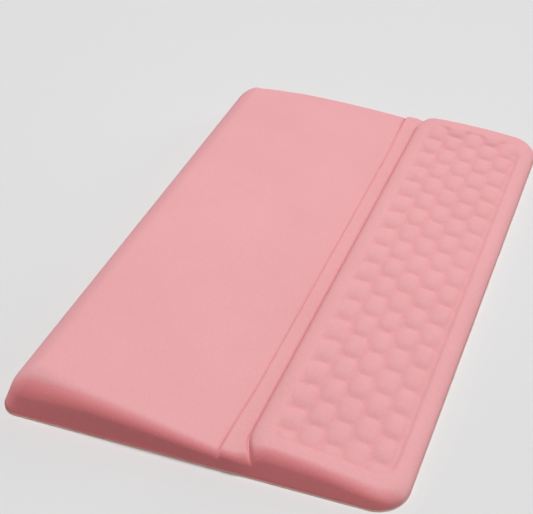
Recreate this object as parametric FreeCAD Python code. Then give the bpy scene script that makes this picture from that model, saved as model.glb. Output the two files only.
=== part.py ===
import FreeCAD, Part
import os
from FreeCAD import Vector

# Wedge-shaped keyboard platform with a raised, domed wrist rest along its front.
# Millimetres, +Z up.  X runs along the keyboard, -Y is the side of the hands.
# The origin is the middle of the underside.  From the desk up there are a non-slip
# sheet, a bonding film, two foams side by side, a hot-melt film and a cloth skin.

# Plan
LENGTH = 360.0
DEPTH = 240.0
FRONT_CORNER = 17.5
REAR_CORNER = 13.0

# Layers
BASE_THICK = 1.2
BOND_THICK = 0.2
SKIN_THICK = 0.9
MELT_THICK = 0.2

# Platform: a wedge whose ends and rear lean in towards the top
REAR_HEIGHT = 27.5
REAR_TOP_Y = 104.0
DECK_LOW = 12.6
PLATFORM_END_LEAN = 5.0
REAR_LEAN = 12.5
PLATFORM_ROUND = 6.0

# Stop strip, between the deck and the wrist rest
STRIP_REAR_Y = -22.0
STRIP_HEIGHT = 14.4
STRIP_FALL = 0.8
STRIP_ROUND = 3.0

# Wrist rest: a low block whose top slopes down to the hands
REST_REAR_Y = -32.5
REST_REAR_HEIGHT = 18.9
REST_FRONT_HEIGHT = 10.0
REST_BACK_CORNER = 8.0
REST_END_LEAN = 5.0
REST_ROUND = 5.0

# Massage panel: a shallow tray of low pillow-shaped domes, every second column staggered
DOME_PITCH = 19.0
DOME_COLUMNS = 5
DOMES_PER_COLUMN = 18
COLUMN_SPACING = 12.82
FIRST_COLUMN_Y = -50.6
DOME_LENGTH = 17.2
DOME_DEPTH = 12.0
DOME_CORNER = 5.2
DOME_HEIGHT = 1.6
DOME_ROUND = 1.1
DOME_ROOT = 1.0
TRAY_DROP = 2.2
PANEL_LENGTH = 336.0
PANEL_REAR_Y = -42.3
PANEL_FRONT_Y = -110.2
PANEL_CORNER = 7.0

HALF_LENGTH = LENGTH / 2
HALF_DEPTH = DEPTH / 2
FOAM_FLOOR = BASE_THICK + BOND_THICK
FOAM_INSET = SKIN_THICK + MELT_THICK
DECK_SLOPE = (REAR_HEIGHT - DECK_LOW) / (REAR_TOP_Y - STRIP_REAR_Y)
REST_SLOPE = (REST_REAR_HEIGHT - REST_FRONT_HEIGHT) / (REST_REAR_Y + HALF_DEPTH)


def rounded_wire(half, y0, y1, front_radius, rear_radius, z):
    """Closed outline of a rectangle, counter-clockwise; a corner with no radius is sharp."""
    f = front_radius
    r = rear_radius
    k = 2 ** -0.5
    corners = [
        [(-half, y0 + f), (-half + f - f * k, y0 + f - f * k), (-half + f, y0)],
        [(half - f, y0), (half - f + f * k, y0 + f - f * k), (half, y0 + f)],
        [(half, y1 - r), (half - r + r * k, y1 - r + r * k), (half - r, y1)],
        [(-half + r, y1), (-half + r - r * k, y1 - r + r * k), (-half, y1 - r)],
    ]
    edges = []
    for i, corner in enumerate(corners):
        a, b, c = [Vector(x, y, z) for x, y in corner]
        if a != c:
            edges.append(Part.Arc(a, b, c).toShape())
        x, y = corners[(i + 1) % len(corners)][0]
        edges.append(Part.LineSegment(c, Vector(x, y, z)).toShape())
    return Part.Wire(edges)


def rounded_prism(half, y0, y1, front_radius, rear_radius, z0, z1):
    """Upright prism on a rounded rectangle."""
    outline = rounded_wire(half, y0, y1, front_radius, rear_radius, z0)
    return Part.Face(outline).extrude(Vector(0, 0, z1 - z0))


def under_slope(y0, z_at_y0, y1, z_at_y1, z_floor):
    """Everything below a plane that slopes along Y, as one long wedge."""
    points = [(y0, z_floor), (y1, z_floor), (y1, z_at_y1), (y0, z_at_y0), (y0, z_floor)]
    outline = Part.makePolygon([Vector(-LENGTH, y, z) for y, z in points])
    return Part.Face(outline).extrude(Vector(2 * LENGTH, 0, 0))


def leaning_block(y0, y1, radii, end_lean, rear_lean, floor, inset):
    """Tall block on a rounded rectangle whose ends and rear lean inwards.

    The leans are how far the faces have moved in at REAR_HEIGHT.
    """
    high = REAR_HEIGHT + 2.0
    part_way = high / REAR_HEIGHT
    half = HALF_LENGTH - inset
    low = rounded_wire(half, y0, y1, radii[0], radii[1], floor)
    top = rounded_wire(half - end_lean * part_way, y0, y1 - rear_lean * part_way,
                       radii[0], radii[1], high)
    return Part.makeLoft([low, top], True, True)


def top_rim(solid, keep):
    """Edges of the largest upward face whose middle point passes the test."""
    upward = [f for f in solid.Faces if f.normalAt(0, 0).z > 0.9]
    top = max(upward, key=lambda f: f.Area)
    middles = [(e, e.valueAt((e.FirstParameter + e.LastParameter) / 2)) for e in top.Edges]
    return [e for e, middle in middles if keep(middle)]


def platform(inset, floor):
    """The wedge under the keyboard, drawn in from its outer faces by inset."""
    front = STRIP_REAR_Y - inset
    body = leaning_block(front, HALF_DEPTH - inset, (0.0, REAR_CORNER),
                         PLATFORM_END_LEAN, REAR_LEAN, floor, inset)
    z_front = DECK_LOW - inset * (1 + DECK_SLOPE)
    z_rear = z_front + (HALF_DEPTH - front) * DECK_SLOPE
    body = body.common(under_slope(front, z_front, HALF_DEPTH, z_rear, floor)).Solids[0]
    rim = top_rim(body, lambda p: p.y > front + 2.0)
    return body.makeFillet(PLATFORM_ROUND - inset, rim)


def strip(inset, floor):
    """The narrow raised strip that stops the keyboard."""
    front = REST_REAR_Y - REST_BACK_CORNER - inset
    rear = STRIP_REAR_Y - inset
    body = leaning_block(front, rear, (0.0, 0.0),
                         PLATFORM_END_LEAN, 0.0, floor, inset)
    z_rear = STRIP_HEIGHT - inset
    body = body.common(under_slope(front, z_rear - STRIP_FALL, rear, z_rear, floor)).Solids[0]
    rim = top_rim(body, lambda p: front + 2.0 < p.y < rear - 2.0)
    return body.makeFillet(STRIP_ROUND - inset, rim)


def rest_top(y):
    """Height of the sloping top of the wrist rest."""
    return REST_FRONT_HEIGHT + REST_SLOPE * (y + HALF_DEPTH)


def rest_block(inset, floor):
    """The wrist rest before its panel is sunk into it."""
    front = -HALF_DEPTH + inset
    rear = REST_REAR_Y - inset
    body = leaning_block(front, rear, (FRONT_CORNER - inset, REST_BACK_CORNER),
                         REST_END_LEAN, 0.0, floor, inset)
    below = under_slope(front, rest_top(front) - inset, rear, rest_top(rear) - inset, floor)
    body = body.common(below).Solids[0]
    return body.makeFillet(REST_ROUND - inset, top_rim(body, lambda p: True))


def panel_outline(inset):
    """Upright prism over the panel, taller than the wrist rest."""
    return rounded_prism(PANEL_LENGTH / 2 + inset, PANEL_FRONT_Y - inset, PANEL_REAR_Y + inset,
                         PANEL_CORNER + inset, PANEL_CORNER + inset, 0.0, REST_REAR_HEIGHT + 2.0)


def below_rest_top(drop):
    """Everything lower than a plane that runs under the sloping top by drop."""
    return under_slope(-HALF_DEPTH, rest_top(-HALF_DEPTH) - drop,
                       REST_REAR_Y, rest_top(REST_REAR_Y) - drop, -1.0)


def dome_places():
    """Centres of the domes: neighbouring columns are half a pitch apart."""
    places = []
    for column in range(DOME_COLUMNS):
        shift = DOME_PITCH / 4 if column % 2 else -DOME_PITCH / 4
        for i in range(DOMES_PER_COLUMN):
            x = (i - (DOMES_PER_COLUMN - 1) / 2) * DOME_PITCH + shift
            places.append((x, FIRST_COLUMN_Y - column * COLUMN_SPACING))
    return places


def first_dome(inset):
    """A dome at X 0 in the first column, with its root a little under the tray's floor."""
    half_depth = DOME_DEPTH / 2 - inset
    corner = DOME_CORNER - inset
    dome = rounded_prism(DOME_LENGTH / 2 - inset, FIRST_COLUMN_Y - half_depth, FIRST_COLUMN_Y + half_depth,
                         corner, corner, 0.0, REST_REAR_HEIGHT)
    top_drop = TRAY_DROP - DOME_HEIGHT + inset
    dome = dome.common(below_rest_top(top_drop))
    dome = dome.cut(below_rest_top(top_drop + DOME_HEIGHT + DOME_ROOT)).Solids[0]
    if inset < DOME_ROUND / 2:
        dome = dome.makeFillet(DOME_ROUND, top_rim(dome, lambda p: True))
    return dome


def domes(inset):
    """All the domes, each moved along the slope from the first."""
    first = first_dome(inset)
    out = []
    for x, y in dome_places():
        dome = first.copy()
        dome.translate(Vector(x, y - FIRST_COLUMN_Y, (y - FIRST_COLUMN_Y) * REST_SLOPE))
        out.append(dome)
    return out


def wrist_rest(inset, floor):
    """The wrist rest with its tray and the domes that stand in it."""
    outline = panel_outline(inset)
    space = outline.cut(below_rest_top(TRAY_DROP + inset))
    standing = [dome.common(outline) for dome in domes(inset)]
    return rest_block(inset, floor).cut(space).multiFuse(standing).removeSplitter()


def platform_and_strip(inset, floor):
    """The wedge with its strip, which reaches under the rear corners of the wrist rest."""
    return platform(inset, floor).fuse(strip(inset, floor))


def whole(inset, floor):
    """Platform, strip and wrist rest as one shape."""
    return platform_and_strip(inset, floor).fuse(wrist_rest(inset, floor)).removeSplitter()


def flat_layer(inset, z0, z1):
    """A sheet with the outline of the underside."""
    return rounded_prism(HALF_LENGTH - inset, -HALF_DEPTH + inset, HALF_DEPTH - inset,
                         FRONT_CORNER - inset, REAR_CORNER, z0, z1)


def build():
    """Every node of the object, by name."""
    outside = whole(0.0, FOAM_FLOOR)
    under_skin = whole(SKIN_THICK, FOAM_FLOOR)
    foam = whole(FOAM_INSET, FOAM_FLOOR)
    rest_foam = wrist_rest(FOAM_INSET, FOAM_FLOOR)
    return {
        "base_sheet": flat_layer(0.0, 0.0, BASE_THICK),
        "base_bond": flat_layer(FOAM_INSET, BASE_THICK, FOAM_FLOOR),
        "platform_core": platform_and_strip(FOAM_INSET, FOAM_FLOOR).removeSplitter().cut(rest_foam),
        "wrist_core": rest_foam,
        "cover_bond": under_skin.cut(foam),
        "top_cover": outside.cut(under_skin),
    }


os.makedirs("parts", exist_ok=True)
for name, shape in build().items():
    solids = shape.Solids
    print(name, len(solids), shape.isValid(), round(shape.Volume / 1000, 2), "cm3")
    shape = solids[0] if len(solids) == 1 else shape
    shape.exportStep("parts/" + name + ".step")
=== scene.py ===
import math

import bpy
import numpy as np
from mathutils import Matrix, Vector

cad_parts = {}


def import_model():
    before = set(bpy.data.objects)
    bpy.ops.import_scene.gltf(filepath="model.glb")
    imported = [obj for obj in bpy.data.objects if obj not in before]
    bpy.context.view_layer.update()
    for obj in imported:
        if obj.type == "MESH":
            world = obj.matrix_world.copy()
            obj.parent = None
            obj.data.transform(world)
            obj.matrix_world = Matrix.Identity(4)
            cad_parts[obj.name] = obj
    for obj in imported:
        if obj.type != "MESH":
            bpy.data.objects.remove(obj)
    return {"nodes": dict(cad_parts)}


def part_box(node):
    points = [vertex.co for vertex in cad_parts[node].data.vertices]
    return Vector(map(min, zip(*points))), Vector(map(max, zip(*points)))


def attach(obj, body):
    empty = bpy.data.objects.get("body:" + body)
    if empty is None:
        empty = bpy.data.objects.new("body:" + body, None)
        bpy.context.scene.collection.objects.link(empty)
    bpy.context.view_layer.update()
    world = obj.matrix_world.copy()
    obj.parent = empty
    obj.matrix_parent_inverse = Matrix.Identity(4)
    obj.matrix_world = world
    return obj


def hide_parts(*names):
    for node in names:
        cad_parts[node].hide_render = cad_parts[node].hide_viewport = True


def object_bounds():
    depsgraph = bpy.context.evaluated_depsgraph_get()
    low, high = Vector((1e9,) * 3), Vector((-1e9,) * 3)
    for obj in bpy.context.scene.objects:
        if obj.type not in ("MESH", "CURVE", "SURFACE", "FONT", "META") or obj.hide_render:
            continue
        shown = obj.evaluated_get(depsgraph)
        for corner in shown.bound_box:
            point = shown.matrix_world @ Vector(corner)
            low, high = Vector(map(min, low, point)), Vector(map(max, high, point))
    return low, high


# A pink keyboard platform with a domed wrist rest.  Shapes are worked out in
# millimetres, +Z up, with the origin in the middle of the underside, as in the CAD.

MM = 0.001

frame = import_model()
cad_low, cad_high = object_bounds()

# ---------------------------------------------------------------- sizes
# outline of the underside
HALF_LENGTH = cad_high.x / MM
HALF_DEPTH = cad_high.y / MM
FRONT_CORNER = 17.5
REAR_CORNER = 13.0

# bottom edge of the cover, bottom of the foam, and the least height of the cover's walls
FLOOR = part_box("base_sheet")[1].z / MM + 0.05
FOAM_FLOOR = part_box("base_bond")[1].z / MM
MIN_WALL = 1.6

# deck
DECK_LOW = 12.2
DECK_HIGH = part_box("top_cover")[1].z / MM
DECK_CROWN_Y = 108.0
DECK_BEND = 1.5

# how far the rear and the ends have moved in at DECK_HIGH; the lean fades in over a zone inside
# them, and on the walls it is whole from a little before the outline
REAR_LEAN = 12.5
LEAN_Y = [-120, -45, -34, -28, 0, 100]
END_LEAN = [6.5, 6.5, 4.5, 1.0, 1.5, 5.0]
REAR_LEAN_ZONE = 50.0
END_LEAN_ZONE = 45.0
REAR_WALL_ZONE = 12.0
END_WALL_ZONE = 6.0

# reach of the rounded top edge in from the outline, and how far down it goes
EDGE_Y = [-120, -80, -45, -36, -28, -20, 0, 60, 100]
EDGE_IN = [7.5, 4.6, 4.6, 5.5, 4.5, 4.5, 5.5, 8.5, 14.0]
EDGE_DOWN = [6.5, 4.6, 4.6, 5.5, 4.5, 4.5, 5.5, 8.5, 14.0]

# groove between the deck and the strip, which bends to the rear and gets deeper at both ends
GROOVE_1_Y = -21.8
GROOVE_1_DEPTH = 0.9
GROOVE_1_WIDTH = 0.7
GROOVE_1_SHIFT = 0.3
GROOVE_1_END_ZONE = 30.0
GROOVE_1_END_DEEPER = 0.8
GROOVE_BEND = 1.6
GROOVE_BEND_X = (118.0, 174.0)

# strip
STRIP_STEP = 1.1
STRIP_REAR = 14.2
STRIP_FRONT = 13.4

# groove between the strip and the wrist rest
GROOVE_2_Y = -31.9
GROOVE_2_DEPTH = 1.9
GROOVE_2_WIDTH = 0.95
GROOVE_2_SHIFT = 0.1

# wrist rest: its rim and dome tops fall towards the hands, and its rear corners are rounded
RIM_HIGH = 19.0
RIM_FALL = 0.0272
DOMES_HIGH = 17.9
DOMES_FALL = 0.0254
REST_HIGH_Y = -47.0
REST_CROWN = 1.4
REST_RISE = 10.5
REST_ROUND = 2.3
REST_CORNER_X = 163.5
REST_CORNER_LONG = 18.5
REST_CORNER_DEEP = 9.6
REST_CORNER_POWER = 1.5
REST_CORNER_POINTS = 26
REST_CORNER_CROWD = 1.2
PAST_FRONT_Y = -200.0

# tray of the massage panel; the pairs are where a change along X or Y starts and ends
PANEL_HALF = 167.2
PANEL_FRONT_Y = -110.2
PANEL_REAR_Y = -43.0
PANEL_CORNER = 11.0
PANEL_LIP = 0.8
PANEL_SOFT = 1.8
PANEL_REAR_SOFT = 5.0
PANEL_REAR_SOFT_Y = (-64.0, -46.0)
PANEL_END_SOFT = 3.2
PANEL_END_SOFT_X = (140.0, 160.0)
PANEL_END_RAISE = 1.0
PANEL_END_RAISE_X = (152.0, 166.0)
PANEL_CREASE = 0.5
PANEL_CREASE_WIDTH = 0.8
CREASE_IN_FRONT = 0.4
CREASE_X = (150.0, 162.0)
CREASE_Y = (-56.0, -48.0)

# domes, every second column staggered, each a little different
DOME_PITCH = 19.0
DOME_COLUMNS = 5
DOMES_PER_COLUMN = 18
COLUMN_SPACING = 12.82
FIRST_COLUMN_Y = -50.6
DOME_LONG = 9.0
DOME_DEEP = 6.8
DOME_SQUARE = 2.6
DOME_HEIGHT = 1.8
DOME_FLAT = 3.1
DOME_EDGE = 0.8
DOME_SEED = 7
SIZE_VARIES = 0.02
LIFT_VARIES = 0.07
TURN_VARIES = 0.05

# cloth over the domes, simulated at a hundred times its size; it is held below a share of their height
PUFF_SCALE = 100.0
PUFF_PRESSURE = 2.0
PUFF_FRAMES = 14
PUFF_LIMIT = 0.6
PUFF_MARGIN = 4.0
HELD_BELOW = 0.12

# where painted shade falls in the valleys between domes, by distance from the nearest dome and from the
# next, 1 at its edge, and how strong it is there
VALLEY_START = (0.84, 1.0)
VALLEY_END = (1.2, 1.55)
VALLEY_SHADE = 0.6

# thickness of the cover, and the foam under it
COVER_THICK = 1.1
FOAM_GAP = 1.15
FOAM_SPLIT_Y = -33.0
FOAM_MARGIN = 3.5

# meshes: spacing of the grid on the domes, lines in the rounded edge, and rings in the walls
COVER_SPACING = 1.15
FOAM_SPACING = 2.6
EDGE_REACH = 14.5
EDGE_COUNT = 16
COVER_RINGS = 5
FOAM_RINGS = 3

# ---------------------------------------------------------------- looks
WHITE = (1, 1, 1)
CLOTH_DARK = (0.735, 0.350, 0.369)
CLOTH_LIGHT = (0.755, 0.364, 0.384)
FIBRE_DARK = (0.95, 0.94, 0.94)
SHEEN_TINT = (1.0, 0.62, 0.64)

# painted shade on the cloth, as a deeper pink: on the end walls, which starts this far out along X, and in
# the grooves and between the domes
CLOTH_END_SHADE = (1.0, 0.61, 0.61)
END_SHADE_START = 167.0
END_SHADE_SURE = 172.0
CLOTH_CREASE_SHADE = (0.97, 0.91, 0.915)

RUBBER_DARK = (0.80, 0.57, 0.46)
RUBBER_LIGHT = (0.92, 0.68, 0.55)
GRAIN_DARK = (0.93, 0.93, 0.93)
MEMORY_DARK = (0.86, 0.80, 0.62)
MEMORY_LIGHT = (0.93, 0.89, 0.76)
FIRM_DARK = (0.84, 0.82, 0.78)
FIRM_LIGHT = (0.92, 0.90, 0.87)
CELL_DARK = (0.82, 0.80, 0.76)
FILM_DARK = (0.82, 0.78, 0.70)
FILM_LIGHT = (0.90, 0.87, 0.80)

FLOOR_COLOUR = (0.67, 0.67, 0.67)
SKY_LOW = (0.50, 0.50, 0.50)
SKY_HIGH = (0.08, 0.08, 0.08)

# half the floor's width and the camera's place are in metres
FLOOR_HALF = 12.0
CAMERA_PLACE = (-0.5251, -0.2140, 0.4454)
CAMERA_FORWARD = (0.7205, 0.3275, -0.6112)
CAMERA_UP = (0.5866, 0.1821, 0.7891)
SENSOR_WIDTH = 36.0
FOCAL_PIXELS = 1098.75
IMAGE_WIDTH = 533


# ---------------------------------------------------------------- plan grid
def smooth(a, b, t):
    """0 before a, 1 after b, and a smooth rise between them."""
    s = np.clip((t - a) / (b - a), 0.0, 1.0)
    return s * s * (3 - 2 * s)


def lines(stretches):
    """Grid lines through (start, end, spacing) stretches."""
    out = []
    for start, end, spacing in stretches:
        count = max(1, round((end - start) / spacing))
        out.extend(np.linspace(start, end, count + 1)[:-1])
    out.append(stretches[-1][1])
    return out


def grid_lines(fine):
    """Nominal X and Y places of the grid's lines; fine is the spacing on the domes."""
    steps = EDGE_REACH * (1 - np.cos(np.linspace(0, math.pi / 2, EDGE_COUNT)))
    x_inner = HALF_LENGTH - EDGE_REACH
    xs = np.concatenate([-HALF_LENGTH + steps[:-1], lines([(-x_inner, x_inner, fine)]),
                         (HALF_LENGTH - steps[:-1])[::-1]])
    inner = lines([
        (-HALF_DEPTH + EDGE_REACH, -46.0, fine),
        (-46.0, -35.0, 0.6),
        (-35.0, -30.5, 0.34),
        (-30.5, -24.4, 0.9),
        (-24.4, -19.0, 0.3),
        (-19.0, -10.0, 1.2),
        (-10.0, 96.0, 2.6),
        (96.0, HALF_DEPTH - EDGE_REACH, 1.6),
    ])
    ys = np.concatenate([-HALF_DEPTH + steps[:-1], inner, (HALF_DEPTH - steps[:-1])[::-1]])
    return xs, ys


def round_corner(x, y, half, edge_y, radius):
    """Moves points of a square corner into the quarter disc of that radius."""
    side_x = np.sign(x)
    side_y = 1.0 if edge_y > 0 else -1.0
    u = (np.abs(x) - (half - radius)) / radius
    v = (side_y * y - (abs(edge_y) - radius)) / radius
    inside = (u > 0) & (v > 0)
    u = np.clip(u, 0, 1)
    v = np.clip(v, 0, 1)
    new_x = side_x * (half - radius + radius * u * np.sqrt(1 - v * v / 2))
    new_y = side_y * (abs(edge_y) - radius + radius * v * np.sqrt(1 - u * u / 2))
    return np.where(inside, new_x, x), np.where(inside, new_y, y)


def plan(xs, ys):
    """The grid's nodes on the rounded outline of the underside."""
    x, y = np.meshgrid(xs, ys, indexing="ij")
    x, y = round_corner(x, y, HALF_LENGTH, -HALF_DEPTH, FRONT_CORNER)
    return round_corner(x, y, HALF_LENGTH, HALF_DEPTH, REAR_CORNER)


def inside_distance(x, y, half, y_low, y_high, r_low, r_high):
    """How far inside a rounded rectangle each point is."""
    mid = (y_low + y_high) / 2
    radius = np.where(y < mid, r_low, r_high)
    qx = np.abs(x) - (half - radius)
    qy = np.abs(y - mid) - ((y_high - y_low) / 2 - radius)
    outside = np.hypot(np.maximum(qx, 0), np.maximum(qy, 0))
    return radius - outside - np.minimum(np.maximum(qx, qy), 0)


# ---------------------------------------------------------------- top surface
def deck_height(y):
    s = np.clip((y - GROOVE_1_Y) / (DECK_CROWN_Y - GROOVE_1_Y), 0, 1)
    return DECK_LOW + (DECK_HIGH - DECK_LOW) * (1 - (1 - s) ** DECK_BEND)


def strip_height(y):
    s = np.clip((GROOVE_1_Y - y) / (GROOVE_1_Y - GROOVE_2_Y), 0, 1)
    return STRIP_REAR + (STRIP_FRONT - STRIP_REAR) * s


def rim_height(y):
    """The smooth rim of the wrist rest."""
    return RIM_HIGH - RIM_FALL * np.maximum(REST_HIGH_Y - y, 0) ** REST_CROWN


def dome_top_height(y):
    """How high the domes reach, a little under the rim."""
    return DOMES_HIGH - DOMES_FALL * np.maximum(REST_HIGH_Y - y, 0) ** REST_CROWN


def rest_height(y, into, strip):
    """The wrist rest without its tray, rising from the strip behind it."""
    t = np.clip(into / REST_RISE, 0, 1)
    rise = (1 - (1 - t) ** REST_ROUND) ** (1 / REST_ROUND)
    return strip + (rim_height(y) - strip) * rise


def groove_1(x):
    """The line where the deck meets the strip; it bends to the rear at both ends."""
    return GROOVE_1_Y + GROOVE_BEND * smooth(*GROOVE_BEND_X, np.abs(x))


def groove_1_depth(x):
    near_end = smooth(HALF_LENGTH - GROOVE_1_END_ZONE, HALF_LENGTH, np.abs(x))
    return GROOVE_1_DEPTH * (1 + GROOVE_1_END_DEEPER * near_end)


def hollow(distance, width):
    """1 along the middle of a groove, fading out on both sides."""
    return np.exp(-(distance / width) ** 2)


def corner_back(out):
    """How far the rest's rear edge has come forward, at 0 to 1 of the way out round its corner."""
    k = REST_CORNER_POWER
    return REST_CORNER_DEEP * (1 - (1 - out ** k) ** (1 / k))


def rest_outline():
    """Rear edge of the wrist rest, as points from one end to the other."""
    out = np.sin(np.linspace(0, math.pi / 2, REST_CORNER_POINTS)) ** REST_CORNER_CROWD
    right = np.stack([REST_CORNER_X + REST_CORNER_LONG * out, GROOVE_2_Y - corner_back(out)], axis=1)
    tail = np.array([[right[-1, 0], PAST_FRONT_Y]])
    right = np.concatenate([right, tail])
    left = right[::-1] * [-1, 1]
    return np.concatenate([left, right])


def into_rest(x, y):
    """Distance from the rear edge of the wrist rest, positive inside the rest."""
    line = rest_outline()
    best = np.full(x.shape, np.inf)
    for (ax, ay), (bx, by) in zip(line, line[1:]):
        dx = bx - ax
        dy = by - ay
        t = np.clip(((x - ax) * dx + (y - ay) * dy) / (dx * dx + dy * dy), 0, 1)
        best = np.minimum(best, np.hypot(x - ax - t * dx, y - ay - t * dy))
    out = np.clip((np.abs(x) - REST_CORNER_X) / REST_CORNER_LONG, 0, 1)
    return np.where(y < GROOVE_2_Y - corner_back(out), best, -best)


def dome_places():
    """Centres of the domes: neighbouring columns are half a pitch apart."""
    places = []
    for column in range(DOME_COLUMNS):
        shift = DOME_PITCH / 4 if column % 2 else -DOME_PITCH / 4
        for i in range(DOMES_PER_COLUMN):
            x = (i - (DOMES_PER_COLUMN - 1) / 2) * DOME_PITCH + shift
            places.append((x, FIRST_COLUMN_Y - column * COLUMN_SPACING))
    return places


def each_dome(x, y):
    """For every dome, its height and each point's distance from its middle, 1 at its edge."""
    rng = np.random.default_rng(DOME_SEED)
    n = DOME_SQUARE
    for cx, cy in dome_places():
        size = 1 + SIZE_VARIES * rng.standard_normal()
        lift = DOME_HEIGHT * (1 + LIFT_VARIES * rng.standard_normal())
        turn = TURN_VARIES * rng.standard_normal()
        u = (x - cx) + turn * (y - cy)
        v = (y - cy) - turn * (x - cx)
        far_u = np.abs(u / (DOME_LONG * size)) ** n
        far_v = np.abs(v / (DOME_DEEP * size)) ** n
        yield lift, (far_u + far_v) ** (1 / n)


def domes(x, y):
    """Height of the pillow-shaped domes over the floor of their tray."""
    height = np.zeros_like(x)
    for lift, r in each_dome(x, y):
        pad = np.clip(1 - np.minimum(r, 1) ** DOME_FLAT, 0, 1) ** DOME_EDGE
        height = np.maximum(height, lift * pad)
    return height


def panel_inset(x, y):
    """How far inside the massage panel each point is."""
    return inside_distance(x, y, PANEL_HALF, PANEL_FRONT_Y, PANEL_REAR_Y, PANEL_CORNER, PANEL_CORNER)


def with_tray(x, y, top, panel):
    """The top with the panel's tray sunk into it, for points this far inside the panel."""
    soft = PANEL_SOFT + (PANEL_REAR_SOFT - PANEL_SOFT) * smooth(*PANEL_REAR_SOFT_Y, y)
    soft = np.maximum(soft, PANEL_END_SOFT * smooth(*PANEL_END_SOFT_X, np.abs(x)))
    sunk = smooth(-PANEL_LIP, soft, panel)
    tray = dome_top_height(y) - DOME_HEIGHT + PANEL_END_RAISE * smooth(*PANEL_END_RAISE_X, x)
    return np.where(panel > -PANEL_LIP, top + (tray - top) * sunk, top)


def crease(x, y, panel):
    """The fold along the panel's edge: plain at the left end, faint in front, none at the rear or right."""
    left = smooth(*CREASE_X, -x)
    right = smooth(*CREASE_X, x)
    plain = CREASE_IN_FRONT + (1 - CREASE_IN_FRONT) * left - CREASE_IN_FRONT * right
    return hollow(panel - PANEL_SOFT, PANEL_CREASE_WIDTH) * (1 - smooth(*CREASE_Y, y)) * plain


def crease_shade_strength(x, y):
    """Strength of the painted shade: 1 in the grooves, less between domes, 0 elsewhere."""
    nearest = np.full_like(x, np.inf)
    second = np.full_like(x, np.inf)
    for _, r in each_dome(x, y):
        second = np.minimum(second, np.maximum(nearest, r))
        nearest = np.minimum(nearest, r)
    between = smooth(*VALLEY_START, nearest) * (1 - smooth(*VALLEY_END, second))
    groove_rear = hollow(y - groove_1(x) - GROOVE_1_SHIFT, GROOVE_1_WIDTH)
    groove_front = hollow(into_rest(x, y) - GROOVE_2_SHIFT, GROOVE_2_WIDTH)
    shallow = VALLEY_SHADE * np.maximum(between, crease(x, y, panel_inset(x, y)))
    return np.maximum(np.maximum(groove_rear, groove_front), shallow)


def smooth_top(x, y, wider=0.0):
    """Height of the cover's top without its domes, before its ends and edges are rounded.

    The tray of the massage panel can be made wider all round.
    """
    line_1 = groove_1(x)
    strip = strip_height(y)
    step = smooth(-STRIP_STEP / 2, STRIP_STEP / 2, y - line_1)
    top = strip + (deck_height(y) - strip) * step
    top = top - groove_1_depth(x) * hollow(y - line_1 - GROOVE_1_SHIFT, GROOVE_1_WIDTH)
    into = into_rest(x, y)
    top = np.where(into > 0, rest_height(y, into, strip), top)
    top = top - GROOVE_2_DEPTH * hollow(into - GROOVE_2_SHIFT, GROOVE_2_WIDTH)
    panel = panel_inset(x, y) + wider
    return with_tray(x, y, top, panel) - PANEL_CREASE * crease(x, y, panel)


def domed_top(x, y):
    return smooth_top(x, y) + domes(x, y) * smooth(0, PANEL_SOFT, panel_inset(x, y))


def foam_top(x, y):
    return smooth_top(x, y, FOAM_MARGIN)


def top_surface(xs, ys, height):
    """Points of the top, with its ends and edges rounded, for a height function of X and Y."""
    x, y = plan(xs, ys)
    inset = inside_distance(x, y, HALF_LENGTH, -HALF_DEPTH, HALF_DEPTH, FRONT_CORNER, REAR_CORNER)
    inset = np.maximum(inset, 0)
    top = height(x, y)
    reach = np.interp(y, EDGE_Y, EDGE_IN)
    down = np.minimum(np.interp(y, EDGE_Y, EDGE_DOWN), top - FLOOR - MIN_WALL)
    t = np.clip(inset / reach, 0, 1)
    z = top - down * (1 - np.sqrt(1 - (1 - t) ** 2))
    return lean(x, y, z)


def lean(x, y, z):
    """Ends and rear lean in towards the top."""
    up = (z - FLOOR) / (DECK_HIGH - FLOOR)
    end_lean = np.interp(y, LEAN_Y, END_LEAN)
    near_end = smooth(HALF_LENGTH - END_LEAN_ZONE, HALF_LENGTH, np.abs(x))
    near_rear = smooth(HALF_DEPTH - REAR_LEAN_ZONE, HALF_DEPTH, y)
    new_x = x - np.sign(x) * end_lean * up * near_end
    new_y = y - REAR_LEAN * up * near_rear
    return np.stack([new_x, new_y, z], axis=-1)


def boundary(nx, ny):
    """Index arrays of the grid's outer loop, in order."""
    i = list(range(nx)) + [nx - 1] * (ny - 2) + list(range(nx - 1, -1, -1)) + [0] * (ny - 2)
    j = [0] * nx + list(range(1, ny - 1)) + [ny - 1] * nx + list(range(ny - 2, 0, -1))
    return np.array(i), np.array(j)


# ---------------------------------------------------------------- meshes
def sheet_faces(nx, ny, first, flip):
    """Quads of a grid of points; facing up, or down if flipped."""
    faces = []
    for i in range(nx - 1):
        for j in range(ny - 1):
            a = first + i * ny + j
            face = (a, a + ny, a + ny + 1, a + 1)
            faces.append(face[::-1] if flip else face)
    return faces


def band_faces(upper, lower):
    """Quads between two rings of points."""
    return [(upper[k], lower[k], lower[k + 1 - len(upper)], upper[k + 1 - len(upper)])
            for k in range(len(upper))]


class Points:
    """Points collected for one mesh."""

    def __init__(self):
        self.lists = []
        self.count = 0

    def add(self, points):
        """Adds points, and returns their numbers."""
        flat = points.reshape(-1, 3)
        self.lists.append(flat)
        self.count += len(flat)
        return np.arange(self.count - len(flat), self.count)


def wall_rings(rim, floor, count):
    """Rings of points from the rim down to the floor along the leaning walls."""
    rings = []
    for k in range(1, count + 1):
        ring = rim.copy()
        ring[:, 2] = rim[:, 2] + (floor - rim[:, 2]) * k / count
        rings.append(follow_lean(ring, rim))
    return rings


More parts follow.
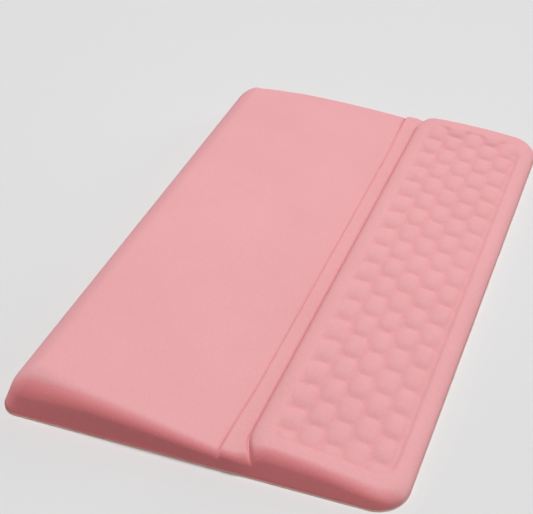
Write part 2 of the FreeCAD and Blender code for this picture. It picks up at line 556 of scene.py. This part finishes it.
def follow_lean(ring, rim):
    """Moves a wall's points outwards by what the lean has less of lower down."""
    drop = (rim[:, 2] - ring[:, 2]) / (DECK_HIGH - FLOOR)
    near_end = smooth(HALF_LENGTH - END_LEAN_ZONE, HALF_LENGTH - END_WALL_ZONE, np.abs(rim[:, 0]))
    near_rear = smooth(HALF_DEPTH - REAR_LEAN_ZONE, HALF_DEPTH - REAR_WALL_ZONE, rim[:, 1])
    ring[:, 0] += np.sign(rim[:, 0]) * np.interp(rim[:, 1], LEAN_Y, END_LEAN) * drop * near_end
    ring[:, 1] += REAR_LEAN * drop * near_rear
    return ring


def make_object(name, points, faces):
    mesh = bpy.data.meshes.new(name)
    mesh.from_pydata((np.concatenate(points.lists) * MM).tolist(), [], [list(map(int, f)) for f in faces])
    mesh.validate()
    mesh.update()
    mesh.polygons.foreach_set("use_smooth", [True] * len(mesh.polygons))
    made = bpy.data.objects.new(name, mesh)
    bpy.context.scene.collection.objects.link(made)
    return made


def drawn_in(points, depth):
    """The same surface further in by depth."""
    scale = [(HALF_LENGTH - depth) / HALF_LENGTH, (HALF_DEPTH - depth) / HALF_DEPTH, 1]
    return points * scale - [0, 0, depth]


def skin(points, grid, floor, count):
    """Adds a grid and the walls under it; returns its first number, and rings of numbers downwards."""
    nx, ny = grid.shape[:2]
    i, j = boundary(nx, ny)
    numbers = points.add(grid)
    rings = [numbers[i * ny + j]]
    for ring in wall_rings(grid[i, j], floor, count):
        rings.append(points.add(ring))
    return numbers[0], rings


def cover_object(name, grid):
    """The cloth cover: an outside and an inside, joined at the bottom edge."""
    nx, ny = grid.shape[:2]
    points = Points()
    start_out, out = skin(points, grid, FLOOR, COVER_RINGS)
    start_in, inner = skin(points, drawn_in(grid, COVER_THICK), FLOOR, COVER_RINGS)
    faces = sheet_faces(nx, ny, start_out, False) + sheet_faces(nx, ny, start_in, True)
    for upper, lower in zip(out, out[1:]):
        faces += band_faces(upper, lower)
    for upper, lower in zip(inner, inner[1:]):
        faces += band_faces(lower, upper)
    faces += band_faces(out[-1], inner[-1])
    return make_object(name, points, faces)


def foam_object(name, grid):
    """A block of foam under the cover, flat where it is glued to the base."""
    nx, ny = grid.shape[:2]
    points = Points()
    start, rings = skin(points, grid, FOAM_FLOOR, FOAM_RINGS)
    under = grid.copy()
    i, j = boundary(nx, ny)
    under[:, :, 2] = FOAM_FLOOR
    numbers = points.add(under)
    bottom = numbers[i * ny + j]
    faces = sheet_faces(nx, ny, start, False) + sheet_faces(nx, ny, numbers[0], True)
    for upper, lower in zip(rings, rings[1:]):
        faces += band_faces(upper, lower)
    faces += band_faces(rings[-1], bottom)
    return make_object(name, points, faces)


# ---------------------------------------------------------------- cloth simulation
def free_points(xs, ys):
    """Which points of the grid the simulation may move: those on the panel's domes."""
    x, y = plan(xs, ys)
    return (domes(x, y) > HELD_BELOW * DOME_HEIGHT) & (panel_inset(x, y) > PANEL_LIP)


def blown_up(sheet, free):
    """The sheet's points after pressure has acted on the free ones, in metres."""
    held = sheet.vertex_groups.new(name="held")
    held.add([int(k) for k in np.flatnonzero(~free)], 1.0, "REPLACE")
    cloth = sheet.modifiers.new("cloth", "CLOTH")
    cloth.settings.vertex_group_mass = "held"
    cloth.settings.use_pressure = True
    cloth.settings.uniform_pressure_force = PUFF_PRESSURE
    cloth.settings.effector_weights.gravity = 0
    scene = bpy.context.scene
    for k in range(1, PUFF_FRAMES + 1):
        scene.frame_set(k)
    shape = sheet.evaluated_get(bpy.context.evaluated_depsgraph_get()).data
    found = np.empty(3 * len(shape.vertices))
    shape.vertices.foreach_get("co", found)
    scene.frame_set(1)
    return found


def puffed(xs, ys, grid):
    """The grid with its cloth blown up a little over the domes and held in the valleys."""
    across = np.abs(xs) < PANEL_HALF + PUFF_MARGIN
    along = (ys > PANEL_FRONT_Y - PUFF_MARGIN) & (ys < PANEL_REAR_Y + PUFF_MARGIN)
    window = np.ix_(across, along)
    part = grid[window]
    nx, ny = part.shape[:2]
    points = Points()
    points.add(part * PUFF_SCALE)
    sheet = make_object("dome_cloth", points, sheet_faces(nx, ny, 0, False))
    found = blown_up(sheet, free_points(xs, ys)[window].ravel())
    bpy.data.objects.remove(sheet)
    moved = found.reshape(nx, ny, 3) / (PUFF_SCALE * MM) - part
    out = grid.copy()
    out[window] = part + np.clip(moved, -PUFF_LIMIT, PUFF_LIMIT)
    return out


# ---------------------------------------------------------------- materials
def new_material(name, roughness):
    """A material, its node tree and its shader, with the object's own coordinates."""
    mat = bpy.data.materials.new(name)
    mat.use_nodes = True
    tree = mat.node_tree
    bsdf = tree.nodes["Principled BSDF"]
    bsdf.inputs["Roughness"].default_value = roughness
    place = tree.nodes.new("ShaderNodeTexCoord").outputs["Object"]
    return mat, tree, bsdf, place


def noise(tree, place, size, detail=2.0):
    """Soft random patches about size millimetres across."""
    node = tree.nodes.new("ShaderNodeTexNoise")
    node.inputs["Scale"].default_value = 1 / (size * MM)
    node.inputs["Detail"].default_value = detail
    tree.links.new(place, node.inputs["Vector"])
    return node.outputs["Fac"]


def pits(tree, place, size):
    """Round cells about size millimetres apart, lowest in their middles."""
    node = tree.nodes.new("ShaderNodeTexVoronoi")
    node.feature = "SMOOTH_F1"
    node.inputs["Scale"].default_value = 1 / (size * MM)
    tree.links.new(place, node.inputs["Vector"])
    return node.outputs["Distance"]


def ramp(tree, value, low, high, start=0.3, end=0.7):
    """A colour that runs from low to high as the value goes from start to end."""
    node = tree.nodes.new("ShaderNodeValToRGB")
    node.color_ramp.elements[0].position = start
    node.color_ramp.elements[1].position = end
    node.color_ramp.elements[0].color = (*low, 1)
    node.color_ramp.elements[1].color = (*high, 1)
    tree.links.new(value, node.inputs["Fac"])
    return node.outputs["Color"]


def times(tree, first, second):
    """Product of two colours."""
    node = tree.nodes.new("ShaderNodeMix")
    node.data_type = "RGBA"
    node.blend_type = "MULTIPLY"
    node.inputs["Factor"].default_value = 1.0
    tree.links.new(first, node.inputs["A"])
    tree.links.new(second, node.inputs["B"])
    return node.outputs["Result"]


def spread(tree, value, low, high, start=0.0, end=1.0):
    """The value, brought from start...end to low...high."""
    node = tree.nodes.new("ShaderNodeMapRange")
    node.inputs["From Min"].default_value = start
    node.inputs["From Max"].default_value = end
    node.inputs["To Min"].default_value = low
    node.inputs["To Max"].default_value = high
    tree.links.new(value, node.inputs["Value"])
    return node.outputs["Result"]


def math_node(tree, operation, *values):
    node = tree.nodes.new("ShaderNodeMath")
    node.operation = operation
    for value, socket in zip(values, node.inputs):
        tree.links.new(value, socket)
    return node.outputs["Value"]


def sideways(tree, vector):
    """How far the vector reaches along X, either way."""
    split = tree.nodes.new("ShaderNodeSeparateXYZ")
    tree.links.new(vector, split.inputs[0])
    return math_node(tree, "ABSOLUTE", split.outputs["X"])


def bump(tree, bsdf, height, depth):
    """Raises the surface by the height, up to depth millimetres."""
    node = tree.nodes.new("ShaderNodeBump")
    node.inputs["Strength"].default_value = 1.0
    node.inputs["Distance"].default_value = depth * MM
    tree.links.new(height, node.inputs["Height"])
    tree.links.new(node.outputs["Normal"], bsdf.inputs["Normal"])


def end_wall_painted_shade(tree, place):
    """Paints shade on the end walls as a deeper pink, more where they face sideways."""
    facing = sideways(tree, tree.nodes.new("ShaderNodeNewGeometry").outputs["Normal"])
    at_end = spread(tree, sideways(tree, place), 0.0, 1.0, END_SHADE_START * MM, END_SHADE_SURE * MM)
    return ramp(tree, math_node(tree, "MULTIPLY", facing, at_end), WHITE, CLOTH_END_SHADE, start=0.08, end=0.85)


def crease_shade_tint(tree):
    """Painted shade in the grooves and between the domes, as a deeper pink, from the shade values stored on
    the mesh.
    """
    shade_marks = tree.nodes.new("ShaderNodeAttribute")
    shade_marks.attribute_name = "crease_shade_strength"
    return ramp(tree, shade_marks.outputs["Fac"], WHITE, CLOTH_CREASE_SHADE, start=0.0, end=1.0)


def knit_cloth():
    """Smooth matt stretch knit, with shade painted as a deeper pink on the end walls, in the grooves and
    between the domes.
    """
    mat, tree, bsdf, place = new_material("cover_cloth", roughness=0.85)
    patches = ramp(tree, noise(tree, place, size=45), CLOTH_DARK, CLOTH_LIGHT)
    fibres = ramp(tree, noise(tree, place, size=1.3, detail=4.0), FIBRE_DARK, WHITE)
    # painted shade on the end walls, in the grooves and between the domes
    painted_shades = times(tree, end_wall_painted_shade(tree, place), crease_shade_tint(tree))
    tree.links.new(times(tree, times(tree, patches, fibres), painted_shades), bsdf.inputs["Base Color"])
    tree.links.new(spread(tree, noise(tree, place, size=3.0), low=0.78, high=0.92), bsdf.inputs["Roughness"])
    bsdf.inputs["Sheen Weight"].default_value = 0.03
    bsdf.inputs["Sheen Roughness"].default_value = 0.5
    bsdf.inputs["Sheen Tint"].default_value = (*SHEEN_TINT, 1)
    bsdf.inputs["Specular IOR Level"].default_value = 0.18
    loops = math_node(tree, "ADD", pits(tree, place, size=0.85), noise(tree, place, size=2.2))
    bump(tree, bsdf, loops, depth=0.07)
    return mat


def soft_rubber():
    """Tan non-slip rubber with a fine pebbled face."""
    mat, tree, bsdf, place = new_material("base_rubber", roughness=0.8)
    patches = ramp(tree, noise(tree, place, size=12), RUBBER_DARK, RUBBER_LIGHT)
    grains = ramp(tree, noise(tree, place, size=0.6), GRAIN_DARK, WHITE)
    tree.links.new(times(tree, patches, grains), bsdf.inputs["Base Color"])
    tree.links.new(spread(tree, noise(tree, place, size=2.0), low=0.7, high=0.9), bsdf.inputs["Roughness"])
    bump(tree, bsdf, pits(tree, place, size=1.6), depth=0.15)
    return mat


def foam_finish(name, dark, light, cell):
    """Foam with open cells of that size."""
    mat, tree, bsdf, place = new_material(name, roughness=0.9)
    patches = ramp(tree, noise(tree, place, size=15), dark, light)
    cells = ramp(tree, pits(tree, place, cell), CELL_DARK, WHITE, start=0.1, end=0.5)
    tree.links.new(times(tree, patches, cells), bsdf.inputs["Base Color"])
    tree.links.new(spread(tree, noise(tree, place, size=1.0), low=0.8, high=1.0), bsdf.inputs["Roughness"])
    bump(tree, bsdf, pits(tree, place, cell), depth=0.3)
    return mat


def glue_film():
    """Cream film, a little uneven."""
    mat, tree, bsdf, place = new_material("bond_film", roughness=0.4)
    patches = ramp(tree, noise(tree, place, size=8), FILM_DARK, FILM_LIGHT)
    tree.links.new(patches, bsdf.inputs["Base Color"])
    tree.links.new(spread(tree, noise(tree, place, size=4), low=0.3, high=0.5), bsdf.inputs["Roughness"])
    bump(tree, bsdf, noise(tree, place, size=3), depth=0.1)
    return mat


def floor_finish():
    mat, _, bsdf, _ = new_material("floor", roughness=1.0)
    bsdf.inputs["Base Color"].default_value = (*FLOOR_COLOUR, 1)
    bsdf.inputs["Specular IOR Level"].default_value = 0.0
    return mat


# ---------------------------------------------------------------- pieces
def make_cover():
    """The cloth cover and the film under it, as one piece."""
    xs, ys = grid_lines(COVER_SPACING)
    grid = top_surface(xs, ys, domed_top)
    grid = puffed(xs, ys, grid)
    cover = cover_object("cover", grid)
    cover.data.materials.append(knit_cloth())
    # shade painted in the grooves and between the domes, stored on the mesh for the cloth's colour
    shade_marks = np.zeros(len(cover.data.vertices))
    shade_marks[:xs.size * ys.size] = crease_shade_strength(*plan(xs, ys)).ravel()
    cover.data.attributes.new("crease_shade_strength", "FLOAT", "POINT").data.foreach_set("value", shade_marks)
    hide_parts("top_cover", "cover_bond")
    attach(cover, "root")


def make_foams():
    """The two blocks of foam that fill the cover."""
    xs, ys = grid_lines(FOAM_SPACING)
    grid = drawn_in(top_surface(xs, ys, foam_top), FOAM_GAP)
    split = int(np.searchsorted(ys, FOAM_SPLIT_Y))
    memory = foam_finish("memory_foam", MEMORY_DARK, MEMORY_LIGHT, cell=0.8)
    firm = foam_finish("platform_foam", FIRM_DARK, FIRM_LIGHT, cell=1.4)
    foams = {
        "wrist_foam": (grid[:, :split], "wrist_core", "memory_foam", memory),
        "platform_foam": (grid[:, split:], "platform_core", "platform_foam", firm),
    }
    for name, (part, node, finish, mat) in foams.items():
        foam = foam_object(name, part)
        foam.data.materials.append(mat)
        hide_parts(node)
        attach(foam, "root")


def finish_base():
    """Materials for the rubber sheet and the film over it, which keep their CAD shapes."""
    for node, mat in (("base_sheet", soft_rubber()), ("base_bond", glue_film())):
        for holder in frame["nodes"][node].material_slots:
            holder.material = mat


# ---------------------------------------------------------------- stage
def stage_floor():
    mesh = bpy.data.meshes.new("floor")
    s = FLOOR_HALF
    mesh.from_pydata([(-s, -s, 0), (s, -s, 0), (s, s, 0), (-s, s, 0)], [], [(0, 1, 2, 3)])
    floor = bpy.data.objects.new("floor", mesh)
    bpy.context.scene.collection.objects.link(floor)
    mesh.materials.append(floor_finish())


def spot(name, place, target, radius, power, angle):
    """A soft spotlight that fades out towards the edge of its cone."""
    data = bpy.data.lights.new(name, "SPOT")
    data.shadow_soft_size = radius
    data.energy = power
    data.spot_size = math.radians(angle)
    data.spot_blend = 1.0
    light = bpy.data.objects.new(name, data)
    light.location = place
    aim = Vector(target) - Vector(place)
    light.rotation_euler = aim.to_track_quat("-Z", "Y").to_euler()
    bpy.context.scene.collection.objects.link(light)


def sun(name, toward, strength, width):
    """A distant light that comes from that direction and looks width degrees wide."""
    data = bpy.data.lights.new(name, "SUN")
    data.energy = strength
    data.angle = math.radians(width)
    light = bpy.data.objects.new(name, data)
    light.rotation_euler = Vector(toward).to_track_quat("Z", "Y").to_euler()
    bpy.context.scene.collection.objects.link(light)


def world():
    """A plain studio surround, pale near the horizon and dim overhead."""
    w = bpy.data.worlds.new("world")
    w.use_nodes = True
    tree = w.node_tree
    direction = tree.nodes.new("ShaderNodeSeparateXYZ")
    tree.links.new(tree.nodes.new("ShaderNodeTexCoord").outputs["Generated"], direction.inputs[0])
    sky = ramp(tree, direction.outputs["Z"], SKY_LOW, SKY_HIGH, start=0.0, end=0.30)
    tree.links.new(sky, tree.nodes["Background"].inputs[0])
    bpy.context.scene.world = w


def camera():
    data = bpy.data.cameras.new("camera")
    data.sensor_width = SENSOR_WIDTH
    data.lens = FOCAL_PIXELS * SENSOR_WIDTH / IMAGE_WIDTH
    data.clip_start = 0.01
    cam = bpy.data.objects.new("camera", data)
    forward = Vector(CAMERA_FORWARD).normalized()
    right = forward.cross(Vector(CAMERA_UP)).normalized()
    up = right.cross(forward).normalized()
    rot = Matrix((right, up, -forward)).transposed()
    cam.matrix_world = Matrix.Translation(Vector(CAMERA_PLACE)) @ rot.to_4x4()
    bpy.context.scene.collection.objects.link(cam)
    bpy.context.scene.camera = cam


make_cover()
make_foams()
finish_base()
stage_floor()
world()
sun("sky", toward=(0.10, -0.02, 1.0), strength=3.0, width=16)
sun("front", toward=(0.9, -1.0, 0.35), strength=0.62, width=30)
spot("far_key", place=(-0.14, 0.0, 0.6), target=(0.25, -0.03, 0), radius=0.05, power=0.9, angle=75)
bpy.context.scene.view_settings.view_transform = "Standard"
camera()
